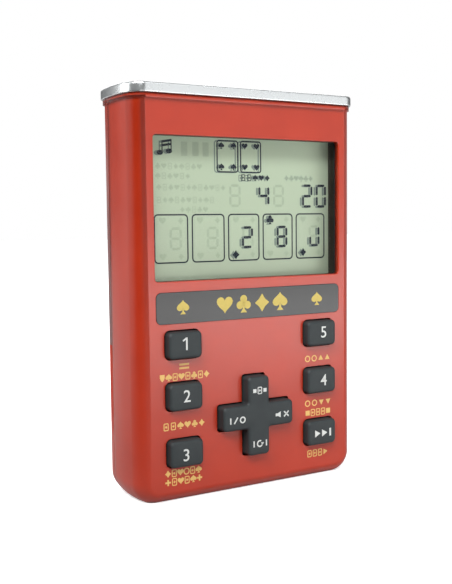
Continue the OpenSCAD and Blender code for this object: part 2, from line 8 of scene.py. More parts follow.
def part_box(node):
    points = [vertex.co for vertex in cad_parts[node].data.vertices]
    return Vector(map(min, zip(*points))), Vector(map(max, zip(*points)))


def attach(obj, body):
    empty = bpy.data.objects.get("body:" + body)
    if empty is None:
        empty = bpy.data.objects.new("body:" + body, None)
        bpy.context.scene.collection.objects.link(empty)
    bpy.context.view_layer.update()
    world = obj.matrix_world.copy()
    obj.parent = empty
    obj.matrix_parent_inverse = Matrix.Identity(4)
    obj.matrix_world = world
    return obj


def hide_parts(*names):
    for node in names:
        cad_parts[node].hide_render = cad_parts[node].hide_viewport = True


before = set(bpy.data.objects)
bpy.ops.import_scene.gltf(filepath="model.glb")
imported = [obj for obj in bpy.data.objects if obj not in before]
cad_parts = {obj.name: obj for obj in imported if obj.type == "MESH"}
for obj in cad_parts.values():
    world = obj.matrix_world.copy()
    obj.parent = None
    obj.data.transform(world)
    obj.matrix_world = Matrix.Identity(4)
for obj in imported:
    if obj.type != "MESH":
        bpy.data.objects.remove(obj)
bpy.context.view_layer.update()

MM = 0.001

# ---------------------------------------------------------------------------------------------
# Camera and studio. The camera stands to the player's left of the case, a little above its
# middle. Pale paper runs back into a white surround. Six soft panels stand round the case, two
# small low lamps and a black card stand close to it, and the room round the camera is dark.
# ---------------------------------------------------------------------------------------------
camera_place = Vector((-118.4, -197.0, 66.5)) * MM
camera_yaw, camera_pitch, camera_roll = 30.66, -4.5, -0.63
camera_focal = 55.72

camera_data = bpy.data.cameras.new("camera")
camera_data.sensor_width = 36
camera_data.lens = camera_focal
camera_data.clip_start = 0.005
camera = bpy.data.objects.new("camera", camera_data)
bpy.context.scene.collection.objects.link(camera)
camera.matrix_world = (
    Matrix.Translation(camera_place)
    @ Matrix.Rotation(math.radians(-camera_yaw), 4, "Z")
    @ Matrix.Rotation(math.radians(90 + camera_pitch), 4, "X")
    @ Matrix.Rotation(math.radians(camera_roll), 4, "Z")
)
bpy.context.scene.camera = camera
bpy.context.scene.view_settings.view_transform = "Standard"


def linear(colour):
    """An sRGB hex colour as linear RGBA."""
    parts = [int(colour[i : i + 2], 16) / 255 for i in (1, 3, 5)]
    return tuple(p / 12.92 if p <= 0.04045 else ((p + 0.055) / 1.055) ** 2.4 for p in parts) + (1,)


def add(tree, kind, settings=None, links=None):
    """Adds a node. Settings are its properties or inputs, and links are what its inputs take."""
    node = tree.nodes.new(kind)
    for name, value in (settings or {}).items():
        if isinstance(name, str) and hasattr(node, name):
            setattr(node, name, value)
        else:
            node.inputs[name].default_value = value
    for name, socket in (links or {}).items():
        tree.links.new(socket, node.inputs[name])
    return node


def empty_material(name):
    """A material with nothing but its output, and its node tree."""
    material = bpy.data.materials.new(name)
    material.use_nodes = True
    material.node_tree.nodes.clear()
    return material, material.node_tree


def finish_material(material, tree, surface):
    add(tree, "ShaderNodeOutputMaterial", links={"Surface": surface})
    return material


paper_glow, glow_near, glow_far = 0.6, 0.05, 0.3
paper_bounce = "#c0c0c0"
floor_half = 3.0


def white_paper():
    """Matt white paper with a painted glow. Its glow grows away from the object, so a soft
    shadow shows near it and pure white farther off. It lights the object less than it glows."""
    material, tree = empty_material("matt_white_paper")
    place = add(tree, "ShaderNodeTexCoord")
    reach = add(
        tree, "ShaderNodeVectorMath", {"operation": "LENGTH"}, {0: place.outputs["Object"]}
    )
    glow = add(
        tree,
        "ShaderNodeMapRange",
        {"From Min": glow_near, "From Max": glow_far, "To Min": paper_glow, "To Max": 1.0},
        {"Value": reach.outputs["Value"]},
    )
    seen = add(
        tree,
        "ShaderNodeBsdfPrincipled",
        {
            "Base Color": linear("#f4f4f4"),
            "Roughness": 0.9,
            "Specular IOR Level": 0.0,
            "Emission Color": (1, 1, 1, 1),
        },
        {"Emission Strength": glow.outputs["Result"]},
    )
    bounced = add(tree, "ShaderNodeBsdfDiffuse", {"Color": linear(paper_bounce)})
    ray = add(tree, "ShaderNodeLightPath")
    both = add(
        tree,
        "ShaderNodeMixShader",
        links={0: ray.outputs["Is Camera Ray"], 1: bounced.outputs[0], 2: seen.outputs[0]},
    )
    return finish_material(material, tree, both.outputs[0])


def matt_black_card():
    """Black card: it swallows nearly all the light that falls on it."""
    material, tree = empty_material("matt_black_card")
    felt = add(tree, "ShaderNodeBsdfDiffuse", {"Color": linear("#080808")})
    return finish_material(material, tree, felt.outputs[0])


def studio_sheet(name, corners, material):
    """A flat sheet that belongs to the studio and not to the object."""
    mesh = bpy.data.meshes.new(name)
    mesh.from_pydata(corners, [], [(0, 1, 2, 3)])
    mesh.materials.append(material)
    sheet = bpy.data.objects.new(name, mesh)
    bpy.context.scene.collection.objects.link(sheet)
    return sheet


studio_sheet(
    "studio_floor",
    [(sx * floor_half, sy * floor_half, 0) for sx, sy in ((-1, -1), (1, -1), (1, 1), (-1, 1))],
    white_paper(),
)


def soft_panel(name, place, aim, width, height, watts):
    """A flat diffused lamp at a place, turned to face a point."""
    lamp = bpy.data.lights.new(name, "AREA")
    lamp.shape = "RECTANGLE"
    lamp.size, lamp.size_y = width, height
    lamp.energy = watts
    panel = bpy.data.objects.new(name, lamp)
    bpy.context.scene.collection.objects.link(panel)
    panel.location = place
    panel.rotation_euler = (Vector(aim) - Vector(place)).to_track_quat("-Z", "Y").to_euler()
    return panel


case_middle = (0, 0, 0.05)
for name, place, width, height, watts in (
    ("lamp_left_high", (-0.75, -0.45, 0.85), 0.6, 0.5, 14.0),
    ("lamp_front_high", (-0.45, -0.9, 0.9), 0.6, 0.5, 10.0),
    ("lamp_right_high", (0.5, -0.8, 0.95), 0.8, 0.7, 2.4),
    ("lamp_behind", (0.5, 1.0, 0.8), 0.9, 0.7, 6.0),
    ("panel_left_back", (-0.84, 0.45, 0.36), 0.8, 0.66, 5.0),
    ("panel_right", (0.62, -0.9, 0.27), 1.1, 0.5, 1.5),
):
    soft_panel(name, place, case_middle, width, height, watts)
# Two small lamps low in front, in the place of white cards, which brighten the case's lower half
for name, place, aim, width, height, watts in (
    ("card_on_floor", (0.12, -0.2, 0.004), (0.12, -0.2, 1.0), 0.16, 0.16, 0.12),
    ("card_standing", (0.15, -0.27, 0.016), (0, 0, 0.016), 0.36, 0.03, 0.24),
):
    soft_panel(name, place, aim, width, height, watts).visible_camera = False

# A black card on edge at the left, out of the picture, which the front's left edge mirrors
flag_place, flag_turn = Vector((-0.125, -0.042, 0)), math.radians(15)
flag_half, flag_height = 0.052, 0.11
flag_reach = Vector((math.sin(flag_turn), -math.cos(flag_turn), 0)) * flag_half
flag_top = Vector((0, 0, flag_height))
flag_near, flag_far = flag_place - flag_reach, flag_place + flag_reach
flag_corners = [flag_near, flag_far, flag_far + flag_top, flag_near + flag_top]
studio_sheet("black_card", flag_corners, matt_black_card()).visible_camera = False

world = bpy.data.worlds.new("studio")
bpy.context.scene.world = world
world.use_nodes = True
room = world.node_tree
room.nodes.clear()
room_white, room_dark = 0.18, 0.0
dark_from, dark_to = 0.45, 0.9
look = add(room, "ShaderNodeTexCoord")
toward_camera = add(
    room,
    "ShaderNodeVectorMath",
    {"operation": "DOT_PRODUCT", 1: (camera_place - Vector(case_middle)).normalized()},
    {0: look.outputs["Generated"]},
)
room_level = add(
    room,
    "ShaderNodeMapRange",
    {
        "interpolation_type": "SMOOTHSTEP",
        "From Min": dark_from,
        "From Max": dark_to,
        "To Min": room_white,
        "To Max": room_dark,
    },
    {"Value": toward_camera.outputs["Value"]},
)
room_light = add(
    room,
    "ShaderNodeBackground",
    {"Color": (1, 1, 1, 1)},
    {"Strength": room_level.outputs["Result"]},
)
white_wall = add(room, "ShaderNodeBackground", {"Color": (1, 1, 1, 1), "Strength": 1.0})
ray = add(room, "ShaderNodeLightPath")
room_mix = add(
    room,
    "ShaderNodeMixShader",
    links={0: ray.outputs["Is Camera Ray"], 1: room_light.outputs[0], 2: white_wall.outputs[0]},
)
add(room, "ShaderNodeOutputWorld", links={"Surface": room_mix.outputs[0]})

# ---------------------------------------------------------------------------------------------
# Front shell, rear shell and battery door. Three mouldings in glossy red ABS, with rounded
# mouths where the mould's cores shut off, and a fine groove where they meet.
# ---------------------------------------------------------------------------------------------
lip_out = 0.45 * MM
case_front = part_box("front_case")[0].y + lip_out
display_low, display_high, display_reach = 52.5 * MM, 86.4 * MM, 27 * MM
keys_below = 41.5 * MM
mouth_radius = 0.85 * MM
key_mouth_radius = 0.3 * MM
weld_gap, flat_within = 0.003 * MM, math.radians(0.4)


def moulded_red_abs():
    """Glossy red ABS: a strong even red, a broad soft sheen and the faint ripple of a moulding."""
    material, tree = empty_material("moulded_red_abs")
    place = add(tree, "ShaderNodeTexCoord")
    flow = add(
        tree,
        "ShaderNodeTexNoise",
        {"Scale": 1 / (9 * MM), "Detail": 3, "Roughness": 0.55},
        {"Vector": place.outputs["Object"]},
    )
    tint = add(
        tree,
        "ShaderNodeValToRGB",
        links={"Fac": flow.outputs["Fac"]},
    )
    tint.color_ramp.elements[0].position = 0.3
    tint.color_ramp.elements[0].color = linear("#9c260a")
    tint.color_ramp.elements[1].position = 0.7
    tint.color_ramp.elements[1].color = linear("#a42a0c")
    ripple = add(
        tree,
        "ShaderNodeTexNoise",
        {"Scale": 1 / (1.1 * MM), "Detail": 2},
        {"Vector": place.outputs["Object"]},
    )
    dull = add(
        tree,
        "ShaderNodeMapRange",
        {"To Min": 0.27, "To Max": 0.36},
        {"Value": flow.outputs["Fac"]},
    )
    bump = add(
        tree,
        "ShaderNodeBump",
        {"Strength": 0.05, "Distance": 0.05 * MM},
        {"Height": ripple.outputs["Fac"]},
    )
    skin = add(
        tree,
        "ShaderNodeBsdfPrincipled",
        {"IOR": 1.54, "Coat Weight": 0.0},
        {
            "Base Color": tint.outputs["Color"],
            "Roughness": dull.outputs["Result"],
            "Normal": bump.outputs["Normal"],
        },
    )
    return finish_material(material, tree, skin.outputs[0])


red_abs = moulded_red_abs()


def join_body(piece, body, slot, material, *nodes):
    """Puts a piece in the scene with its material, and says what it moves with and stands for."""
    bpy.context.scene.collection.objects.link(piece)
    piece.data.materials.append(material)
    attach(piece, body)
    if nodes:
        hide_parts(*nodes)
    return piece


def solid_copy(node):
    """A CAD node's solid as joined faces, its flat sides whole again."""
    form = bmesh.new()
    form.from_mesh(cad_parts[node].data)
    bmesh.ops.remove_doubles(form, verts=form.verts, dist=weld_gap)
    bmesh.ops.dissolve_limit(
        form, angle_limit=flat_within, verts=form.verts, edges=form.edges
    )
    return form


def sharp_edges(form, wanted, turn=32):
    """The edges where two faces meet at more than turn degrees, and that wanted accepts."""
    return [
        e
        for e in form.edges
        if len(e.link_faces) == 2
        and e.calc_face_angle(0) > math.radians(turn)
        and wanted(e.verts[0].co, e.verts[1].co)
    ]


def round_over(form, edges, radius, steps):
    bmesh.ops.bevel(
        form,
        geom=edges,
        offset=radius,
        segments=steps,
        profile=0.5,
        affect="EDGES",
        clamp_overlap=True,
        offset_type="OFFSET",
    )


def piece_of(form, name):
    """A smooth-shaded object from a bmesh, whose flat faces stay flat."""
    bmesh.ops.recalc_face_normals(form, faces=form.faces)
    mesh = bpy.data.meshes.new(name)
    form.to_mesh(mesh)
    form.free()
    for face in mesh.polygons:
        face.use_smooth = True
    piece = bpy.data.objects.new(name, mesh)
    weigh = piece.modifiers.new("even_flats", "WEIGHTED_NORMAL")
    weigh.keep_sharp = True
    weigh.weight = 90
    return piece


def on_front(*points):
    return all(abs(p.y - case_front) < 0.02 * MM for p in points)


def in_display(*points):
    return all(
        abs(p.x) < display_reach and display_low - MM < p.z < display_high + MM for p in points
    )


shell = solid_copy("front_case")
round_over(
    shell,
    sharp_edges(shell, lambda a, b: on_front(a, b) and in_display(a, b)),
    mouth_radius,
    5,
)
round_over(
    shell,
    sharp_edges(shell, lambda a, b: on_front(a, b) and a.z < keys_below),
    key_mouth_radius,
    3,
)
join_body(piece_of(shell, "front_shell"), "case", "red_abs", red_abs, "front_case")

for node, name, body in (
    ("rear_case", "rear_shell", "case"),
    ("battery_door", "battery_cover", "battery_door"),
):
    shell = solid_copy(node)
    join_body(piece_of(shell, name), body, "red_abs", red_abs, node)

# ---------------------------------------------------------------------------------------------
# Top cap. A shallow ABS tray plated bright silver, pressed onto the top of both shells by two
# pegs. Its edges are rounded so that the plating doesn't chip.
# ---------------------------------------------------------------------------------------------
def arc(cx, cy, radius, first, last, steps):
    """Points round an arc from one angle to another, in degrees, ends included."""
    return [
        (
            cx + radius * math.cos(math.radians(first + (last - first) * i / steps)),
            cy + radius * math.sin(math.radians(first + (last - first) * i / steps)),
        )
        for i in range(steps + 1)
    ]


def turned(angle):
    """Sine and cosine of an angle in degrees."""
    return math.sin(math.radians(angle)), math.cos(math.radians(angle))


case_half, case_deep = 31.7, 20.2
front_edge, front_turn = 1.9, 38
shoulder, shoulder_end = 5.5, 84
bow, bow_end = 42, 101


def case_outline(out):
    """The case's plan, drawn out by a distance: each side is a chain of arcs, front to back."""
    bow_front = (
        front_edge * (1 - turned(front_turn)[1])
        + shoulder * (turned(front_turn)[1] - turned(shoulder_end)[1])
        + bow * turned(shoulder_end)[1]
    )
    bow_back = -bow * turned(bow_end)[1]
    rear_edge = (case_deep - bow_front - bow_back) / (1 + turned(bow_end)[1])
    arcs = (
        (front_edge, 0, front_turn, 8),
        (shoulder, front_turn, shoulder_end, 12),
        (bow, shoulder_end, 90, 4),
        (bow, 90, bow_end, 6),
        (rear_edge, bow_end, 180, 14),
    )
    x, y, widest = 0.0, -case_deep / 2 - out, 0.0
    side = [(x, y)]
    for radius, start, end, steps in arcs:
        r, (sin0, cos0) = radius + out, turned(start)
        for i in range(1, steps + 1):
            sin1, cos1 = turned(start + (end - start) * i / steps)
            side.append((x + r * (sin1 - sin0), y + r * (cos0 - cos1)))
        x, y = side[-1]
        widest = max(widest, x)
    shift = case_half + out - widest
    side = [(x + shift, y) for x, y in side]
    return side + [(-x, y) for x, y in reversed(side)]


def lofted(name, rings):
    """A skin through rings of equal numbers of points, with both ends closed."""
    form = bmesh.new()
    loops = [[form.verts.new(p) for p in ring] for ring in rings]
    for lower, upper in zip(loops, loops[1:]):
        for i in range(len(lower)):
            j = (i + 1) % len(lower)
            form.faces.new((lower[i], lower[j], upper[j], upper[i]))
    form.faces.new(list(reversed(loops[0])))
    form.faces.new(loops[-1])
    return piece_of(form, name)


def plated_silver():
    """Bright plating on moulded plastic: a pale grey mirror, softened by the skin under it."""
    material, tree = empty_material("plated_silver")
    place = add(tree, "ShaderNodeTexCoord")
    haze = add(
        tree,
        "ShaderNodeTexNoise",
        {"Scale": 1 / (4 * MM), "Detail": 4, "Roughness": 0.6},
        {"Vector": place.outputs["Object"]},
    )
    dull = add(
        tree,
        "ShaderNodeMapRange",
        {"To Min": 0.22, "To Max": 0.34},
        {"Value": haze.outputs["Fac"]},
    )
    ripple = add(
        tree,
        "ShaderNodeTexNoise",
        {"Scale": 1 / (2.2 * MM), "Detail": 1},
        {"Vector": place.outputs["Object"]},
    )
    bump = add(
        tree,
        "ShaderNodeBump",
        {"Strength": 0.06, "Distance": 0.1 * MM},
        {"Height": ripple.outputs["Fac"]},
    )
    skin = add(
        tree,
        "ShaderNodeBsdfPrincipled",
        {"Base Color": linear("#dfe3e4"), "Metallic": 1.0},
        {"Roughness": dull.outputs["Result"], "Normal": bump.outputs["Normal"]},
    )
    return finish_material(material, tree, skin.outputs[0])


cap_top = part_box("top_cap")[1].z
cap_foot = cap_top - 2.4 * MM
cap_overhang = 0.9
# The rim's inner slope down to the tray: insets and drops
cap_slope = ((1.6, 0), (1.9, 0.12), (2.3, 0.2))
cap_under_edge, cap_top_edge = 0.25, 0.55


def cap_ring(inset, height):
    return [(x * MM, y * MM, height) for x, y in case_outline(cap_overhang - inset)]


def quarter(inset_edge, steps=5):
    """Inset and drop along a quarter round, from its outside to its top."""
    return [
        (
            inset_edge * (1 - math.cos(math.pi / 2 * i / steps)),
            inset_edge * (1 - math.sin(math.pi / 2 * i / steps)),
        )
        for i in range(steps + 1)
    ]


cap_rings = [cap_ring(i, cap_foot + d * MM) for i, d in reversed(quarter(cap_under_edge))]
cap_rings += [cap_ring(i, cap_top - d * MM) for i, d in quarter(cap_top_edge)]
cap_rings += [cap_ring(i, cap_top - drop * MM) for i, drop in cap_slope]
join_body(lofted("silver_cap", cap_rings), "case", "silver_cap", plated_silver(), "top_cap")

# ---------------------------------------------------------------------------------------------
# Display. Black foam, a clear window, and a dark frame that spaces the glass sandwich: satin
# polariser film, two sheets of glass and a grey-green reflector. The segments are printed in
# the crystal layer; the faint shadow each throws on the reflector behind is a painted shadow,
# a darker copy of each segment shifted on the film.
# ---------------------------------------------------------------------------------------------
def plain_material(name, colour, roughness, grain, mottle=0.06, depth=0.0, **sockets):
    """A dull moulded or coated surface: its colour and gloss wander a little at one grain size."""
    material, tree = empty_material(name)
    place = add(tree, "ShaderNodeTexCoord")
    cloud = add(
        tree,
        "ShaderNodeTexNoise",
        {"Scale": 1 / (grain * MM), "Detail": 3},
        {"Vector": place.outputs["Object"]},
    )
    shade = add(
        tree,
        "ShaderNodeMapRange",
        {"To Min": 1 - mottle, "To Max": 1 + mottle},
        {"Value": cloud.outputs["Fac"]},
    )
    base = add(
        tree,
        "ShaderNodeVectorMath",
        {"operation": "SCALE", 0: linear(colour)[:3]},
        {"Scale": shade.outputs["Result"]},
    )
    dull = add(
        tree,
        "ShaderNodeMapRange",
        {"To Min": roughness * 0.9, "To Max": min(1.0, roughness * 1.1)},
        {"Value": cloud.outputs["Fac"]},
    )
    links = {"Base Color": base.outputs["Vector"], "Roughness": dull.outputs["Result"]}
    if depth:
        bump = add(
            tree,
            "ShaderNodeBump",
            {"Strength": 0.5, "Distance": depth * MM},
            {"Height": cloud.outputs["Fac"]},
        )
        links["Normal"] = bump.outputs["Normal"]
    settings = {label.replace("_", " "): value for label, value in sockets.items()}
    skin = add(tree, "ShaderNodeBsdfPrincipled", settings, links)
    return finish_material(material, tree, skin.outputs[0])


def dress(node, material):
    """Gives a CAD node, whose shape is right, its material."""
    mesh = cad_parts[node].data
    mesh.materials.clear()
    mesh.materials.append(material)


def edge_solid(node, name, body, slot, material, radius, steps=2):
    """A copy of a CAD solid with every sharp edge rounded over, as moulding leaves it."""
    form = solid_copy(node)
    round_over(form, sharp_edges(form, lambda a, b: True), radius * MM, steps)
    return join_body(piece_of(form, name), body, slot, material, node)


def clear_acrylic():
    """Clear moulded acrylic: all that shows is a thin reflection."""
    material, tree = empty_material("clear_acrylic")
    place = add(tree, "ShaderNodeTexCoord")
    smear = add(
        tree,
        "ShaderNodeTexNoise",
        {"Scale": 1 / (14 * MM), "Detail": 2},
        {"Vector": place.outputs["Object"]},
    )
    dull = add(
        tree,
        "ShaderNodeMapRange",
        {"To Min": 0.03, "To Max": 0.08},
        {"Value": smear.outputs["Fac"]},
    )
    facing = add(tree, "ShaderNodeFresnel", {"IOR": 1.2})
    through = add(tree, "ShaderNodeBsdfTransparent", {"Color": linear("#fcfdfc")})
    shine = add(
        tree,
        "ShaderNodeBsdfGlossy",
        {"Color": (1, 1, 1, 1)},
        {"Roughness": dull.outputs["Result"]},
    )
    both = add(
        tree,
        "ShaderNodeMixShader",
        links={0: facing.outputs[0], 1: through.outputs[0], 2: shine.outputs[0]},
    )
    return finish_material(material, tree, both.outputs[0])


def satin_polariser():
    """Satin film over the glass: grey-green, with painted light: lighter towards the top, to
    offset the shade under the mouth's top edge.
    """
    material, tree = empty_material("satin_polariser")
    place = add(tree, "ShaderNodeTexCoord")
    split = add(tree, "ShaderNodeSeparateXYZ", links={0: place.outputs["Object"]})
    height = add(
        tree,
        "ShaderNodeMapRange",
        {"From Min": display_low, "From Max": display_high},
        {"Value": split.outputs["Z"]},
    )
    # Painted light: the film's colour runs lighter towards the top
    tone = add(tree, "ShaderNodeValToRGB", links={"Fac": height.outputs["Result"]})
    tone.color_ramp.elements[0].color = linear("#b6c1ab")
    tone.color_ramp.elements[1].color = linear("#bdcab2")
    grain = add(
        tree,
        "ShaderNodeTexNoise",
        {"Scale": 1 / (0.25 * MM), "Detail": 2},
        {"Vector": place.outputs["Object"]},
    )
    bump = add(
        tree,
        "ShaderNodeBump",
        {"Strength": 0.1, "Distance": 0.02 * MM},
        {"Height": grain.outputs["Fac"]},
    )
    skin = add(
        tree,
        "ShaderNodeBsdfPrincipled",
        {"Roughness": 0.45, "Specular IOR Level": 0.3},
        {"Base Color": tone.outputs["Color"], "Normal": bump.outputs["Normal"]},
    )
    return finish_material(material, tree, skin.outputs[0])


black_foam = plain_material("black_foam_tape", "#0c0b0b", 0.9, 0.4, mottle=0.2, depth=0.05)
dark_frame = plain_material("dark_satin_abs", "#2a211e", 0.45, 1.5, depth=0.01)
edge_solid("window_gasket", "foam_gasket", "case", "black_foam", black_foam, 0.05)
edge_solid("lcd_frame", "display_frame", "case", "dark_frame", dark_frame, 0.15)
dress("display_window", clear_acrylic())
polariser = satin_polariser()
dress("lcd_front_polariser", polariser)
dress("lcd_reflector", polariser)
lcd_glass = plain_material(
    "cut_glass_edge", "#9fb09a", 0.15, 3, IOR=1.5, Transmission_Weight=0.4
)
dress("lcd_front_glass", lcd_glass)
dress("lcd_rear_glass", lcd_glass)

film_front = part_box("lcd_front_polariser")[0].y


def sheet_of(name, shapes, depth, thickness):
    """Thin raised prints: flat shapes in millimetres, x across and z up, at a depth along Y."""
    form = bmesh.new()
    for shape in shapes:
        for outline in shape:
            lower = [form.verts.new((x * MM, depth, z * MM)) for x, z in outline]
            upper = [form.verts.new((x * MM, depth - thickness, z * MM)) for x, z in outline]
            form.faces.new(lower)
            form.faces.new(list(reversed(upper)))
            for i in range(len(outline)):
                j = (i + 1) % len(outline)
                form.faces.new((lower[i], lower[j], upper[j], upper[i]))
    bmesh.ops.recalc_face_normals(form, faces=form.faces)
    mesh = bpy.data.meshes.new(name)
    form.to_mesh(mesh)
    form.free()
    return bpy.data.objects.new(name, mesh)


def line(points, width, closed=False):
    """A drawn line as a row of four-sided patches."""
    count = len(points)
    sides = []
    for i, (x, z) in enumerate(points):
        before = points[(i - 1) % count] if closed or i else points[i]
        after = points[(i + 1) % count] if closed or i < count - 1 else points[i]
        run = Vector((after[0] - before[0], after[1] - before[1])).normalized()
        across = Vector((-run.y, run.x)) * width / 2
        if closed or 0 < i < count - 1:
            a = Vector((x - before[0], z - before[1])).normalized()
            b = Vector((after[0] - x, after[1] - z)).normalized()
            across /= max(0.5, math.sqrt((1 + a.dot(b)) / 2))
        sides.append(((x + across.x, z + across.y), (x - across.x, z - across.y)))
    pairs = list(zip(sides, sides[1:])) + ([(sides[-1], sides[0])] if closed else [])
    return [[a[0], a[1], b[1], b[0]] for a, b in pairs]


def moved(shape, x, z, size=1.0, tall=None):
    """A unit shape scaled and put at a place."""
    tall = size if tall is None else tall
    return [[(x + u * size, z + v * tall) for u, v in outline] for outline in shape]


# Unit shapes, each about one unit high and centred
def heart():
    outline = []
    for i in range(28):
        t = 2 * math.pi * i / 28
        x = math.sin(t) ** 3
        z = (13 * math.cos(t) - 5 * math.cos(2 * t) - 2 * math.cos(3 * t) - math.cos(4 * t)) / 16
        outline.append((0.5 * x, 0.5 * z + 0.06))
    return [outline]


def stem(half):
    """A stalk that flares to its foot: half its outline, and the same mirrored."""
    return half + [(-x, z) for x, z in reversed(half)]


def spade():
    (lobes,) = heart()
    leaf = [(x, 0.13 - 0.86 * z) for x, z in lobes]
    return [leaf, stem([(0.05, -0.12), (0.07, -0.3), (0.22, -0.48)])]


def club():
    lobe = 0.215
    lobes = [arc(x, z, lobe, 0, 345, 23) for x, z in ((0, 0.26), (-0.24, -0.07), (0.24, -0.07))]
    return lobes + [stem([(0.05, 0.1), (0.06, -0.28), (0.2, -0.48)])]


def diamond():
    right = [(0, 0.5), (0.2, 0.21), (0.46, 0), (0.2, -0.21)]
    return [right + [(-x, -z) for x, z in right]]


def block(width, height, x=0.0, z=0.0):
    w, h = width / 2, height / 2
    return [[(x - w, z - h), (x + w, z - h), (x + w, z + h), (x - w, z + h)]]


def ring(radius=0.4, width=0.16):
    return line(arc(0, 0, radius, 0, 337.5, 15), width, closed=True)


def pointer(turn=0):
    """A triangle that points right, turned anticlockwise by quarter turns."""
    outline = [(-0.32, -0.42), (0.42, 0), (-0.32, 0.42)]
    for _ in range(turn):
        outline = [(-z, x) for x, z in outline]
    return [outline]


def card_outline(width, height, radius, stroke):
    w, h = width / 2, height / 2
    r = radius
    points = (
        arc(w - r, h - r, r, 0, 90, 4)
        + arc(r - w, h - r, r, 90, 180, 4)
        + arc(r - w, r - h, r, 180, 270, 4)
        + arc(w - r, r - h, r, 270, 360, 4)
    )
    return line(points, stroke, closed=True)


def card_sign():
    return card_outline(0.62, 0.92, 0.1, 0.13) + moved(diamond(), 0, 0, 0.42)


# Which of the seven bars each figure lights. A is the top one, B to F follow clockwise, and G
# is the middle one.
figure_bars = {"0": "ABCDEF", "2": "ABGED", "4": "FGBC", "8": "ABCDEFG", "J": "BCDE"}


def seven_bars(lit, x, z, width, height, stroke):
    """The bars of a seven-bar figure named in lit, centred on x, z."""
    w, h, s = width / 2, height / 2, stroke / 2
    gap, point = stroke * 0.3, stroke * 0.35

    def flat(v, shift):
        a, b = -w + shift + gap, w - shift - gap
        c, d = a + point, b - point
        return [(c, v - s), (d, v - s), (b, v), (d, v + s), (c, v + s), (a, v)]

    def upright(u, low, high):
        a, b = low + gap, high - gap
        c, d = a + point, b - point
        return [(u - s, c), (u, a), (u + s, c), (u + s, d), (u, b), (u - s, d)]

    bars = {
        "A": flat(h - s, s),
        "G": flat(0, s),
        "D": flat(s - h, s),
        "F": upright(s - w, 0, h - s),
        "B": upright(w - s, 0, h - s),
        "E": upright(s - w, s - h, 0),
        "C": upright(w - s, s - h, 0),
    }
    return [[(x + u, z + v) for u, v in bars[letter]] for letter in bars if letter in lit]


card_wide, card_tall, card_pitch, card_line = 8.9, 11.45, 10.2, 0.34
card_row_z, first_card_x = 62.35, -19.3
figure_wide, figure_tall, figure_stroke = 3.3, 5.5, 0.62
turn_z, score_z, words_z = 82.3, 72.7, 77.15


def card_x(i):
    return first_card_x + card_pitch * i


def display_figure(lit, x, z, tall):
    return seven_bars(lit, x, z, figure_wide, tall, figure_stroke)


def big_cards():
    """Outlines of the five cards of the hand."""
    outline = card_outline(card_wide, card_tall, 0.9, card_line)
    return [moved(outline, card_x(i), card_row_z) for i in range(5)]


def display_marks():
    """All lit marks of the display, but for the outlines of the hand."""
    marks = []
    for i, figure, dx in ((2, "2", 1.05), (3, "8", 1.3), (4, "J", 1.35)):
        lit = figure_bars[figure]
        marks.append(display_figure(lit, card_x(i) + dx, card_row_z, figure_tall))
    marks.append(moved(diamond(), card_x(2) - 2.4, card_row_z - 4.3, 2.3))
    marks.append(moved(club(), card_x(3) - 2.35, card_row_z + 4.3, 2.4))
    marks.append(moved(diamond(), card_x(4) - 2.3, card_row_z - 4.2, 2.2))
    # Two small cards that say whose turn it is
    for x, suit in ((-3.45, spade), (3.3, heart)):
        marks.append(moved(card_outline(5.9, 7.6, 0.6, card_line), x, turn_z))
        for sx in (-1, 1):
            for sz in (-1, 1):
                marks.append(moved(suit(), x + sx * 1.75, turn_z + sz * 2.6, 1.7))
    # Row of suit marks under them
    for i, suit in enumerate((card_sign, card_sign, spade, heart, diamond)):
        marks.append(moved(suit(), 1.0 + 1.8 * i, words_z, 1.6))
    # Scores
    for digit, x, tall in (("4", 7.15, 5.3), ("2", 20.6, 6), ("0", 25.0, 6)):
        marks.append(display_figure(figure_bars[digit], x, score_z, tall))
    # Sound sign: two quavers under a double beam
    for x, low in ((-22.0, 82.75), (-19.6, 83.15)):
        marks.append(moved([arc(0, 0, 0.5, 0, 337.5, 15)], x, low, 1.7, 1.2))
        marks.append(line([(x + 0.62, low), (x + 0.62, low + 2.6)], 0.3))
    for drop in (0, 0.9):
        marks.append(line([(-21.5, 85.3 - drop), (-18.85, 85.75 - drop)], 0.55))
    return marks


def half_lit_marks():
    """The row of suits on the right, which is only half lit."""
    suits = (diamond, club, heart, spade, club, diamond)
    return [moved(suit(), 14.1 + 1.52 * i, 77.2, 1.6) for i, suit in enumerate(suits)]


def ghost_marks():
    """Unlit marks that can just be made out in the crystal layer."""
    marks = []
    for i in range(5):
        unlit = "ABCDEFG" if i < 2 else "".join(set("ABCDEFG") - set(figure_bars["28J"[i - 2]]))
        marks.append(display_figure(unlit, card_x(i) + 1.2, card_row_z, figure_tall))
        for side in (-1, 1):
            marks.append(moved(heart(), card_x(i) - 2.3, card_row_z + 4.3 * side, 1.9))
            marks.append(moved(diamond(), card_x(i) + 2.6, card_row_z + 4.3 * side, 1.7))
    suits = (spade, card_sign, club, heart, card_sign, diamond)
    for z, first, count in (
        (79.6, -22.6, 8),
        (77.3, -22.6, 6),
        (74.6, -22.4, 12),
        (71.6, -22.4, 10),
        (69.3, -16.2, 5),
    ):
        for i in range(count):
            marks.append(moved(suits[(i + count) % 6](), first + 1.6 * i, z, 1.45))
    for x in (-1.4, 11.6):
        marks.append(display_figure("ABCDEFG", x, score_z, 5.6))
    for x in (-15.5, -12.4, -9.6):
        marks.append(block(1.7, 3.4, x, 83.8))
    return marks


lcd_ink = plain_material("lcd_crystal_dark", "#1c2432", 0.5, 2, Specular_IOR_Level=0.2)
# Painted shadow: the tone of the shifted copies that stand for the segments' shadows
lcd_shade = plain_material("lcd_shadow_tone", "#7f8b84", 0.6, 2, Specular_IOR_Level=0.1)
lcd_faint = plain_material("lcd_unlit_tone", "#adb9a3", 0.6, 2, Specular_IOR_Level=0.1)
lcd_half = plain_material("lcd_half_lit_tone", "#a0ac9a", 0.6, 2, Specular_IOR_Level=0.1)
shadow_shift = Vector((-0.72, -0.1))


